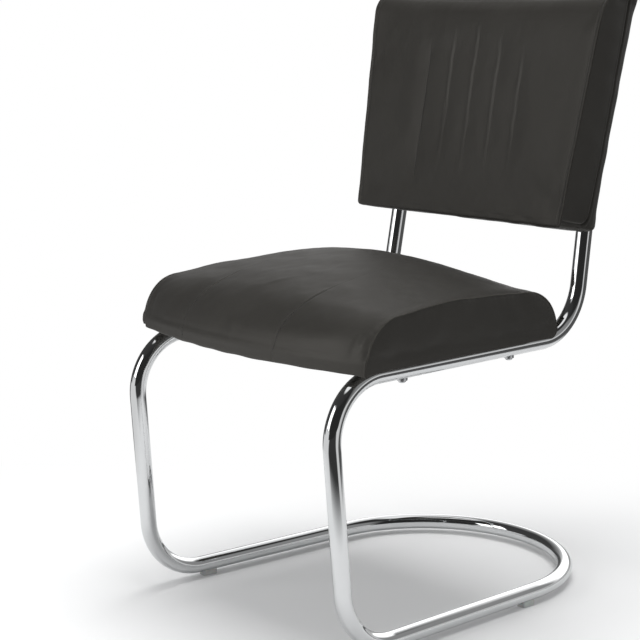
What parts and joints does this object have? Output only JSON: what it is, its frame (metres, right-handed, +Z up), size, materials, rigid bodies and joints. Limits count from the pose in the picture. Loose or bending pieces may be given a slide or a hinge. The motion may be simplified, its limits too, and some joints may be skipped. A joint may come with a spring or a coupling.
{
  "type": "cantilever chair",
  "caption": "Cantilever dining chair: a bent chromed tube frame with a D-shaped base, a domed upholstered seat and a channelled upholstered back in black leatherette.",
  "frame": {"origin": "middle of the chair's footprint box, on the floor", "axes": "+Z up, -Y towards where the sitter faces, +X to the right when looking along +Y at the chair's front"},
  "size_m": [0.502, 0.6426, 0.9082],
  "materials": {
    "chromed_tube": "polished",
    "black_leatherette": "semi-matt fine grain",
    "foam": "open-cell polyurethane foam",
    "plywood": "raw birch plywood",
    "glide_plastic": "translucent moulded plastic",
    "black_plastic": "moulded",
    "zinc_steel": "zinc plated",
    "dust_cloth": "non-woven cloth"
  },
  "bodies": {
    "root": {"frame_tube": "chromed_tube", "seat_cover_wrap": "black_leatherette", "seat_cover_side_right": "black_leatherette", "seat_cover_side_left": "black_leatherette", "back_cover_front": "black_leatherette", "back_cover_rear": "black_leatherette", "back_cover_side_right": "black_leatherette", "back_cover_side_left": "black_leatherette", "seat_foam": "foam", "back_foam_front": "foam", "back_foam_rear": "foam", "seat_board": "plywood", "back_board": "plywood", "glide_front_right": "glide_plastic", "glide_front_left": "glide_plastic", "glide_rear_right": "glide_plastic", "glide_rear_left": "glide_plastic", "tube_plug_right": "black_plastic", "tube_plug_left": "black_plastic", "seat_screws": "zinc_steel", "seat_tee_nuts": "zinc_steel", "seat_saddle_washers": "zinc_steel", "back_screws": "zinc_steel", "seat_dust_cover": "dust_cloth"}
  },
  "joints": []
}
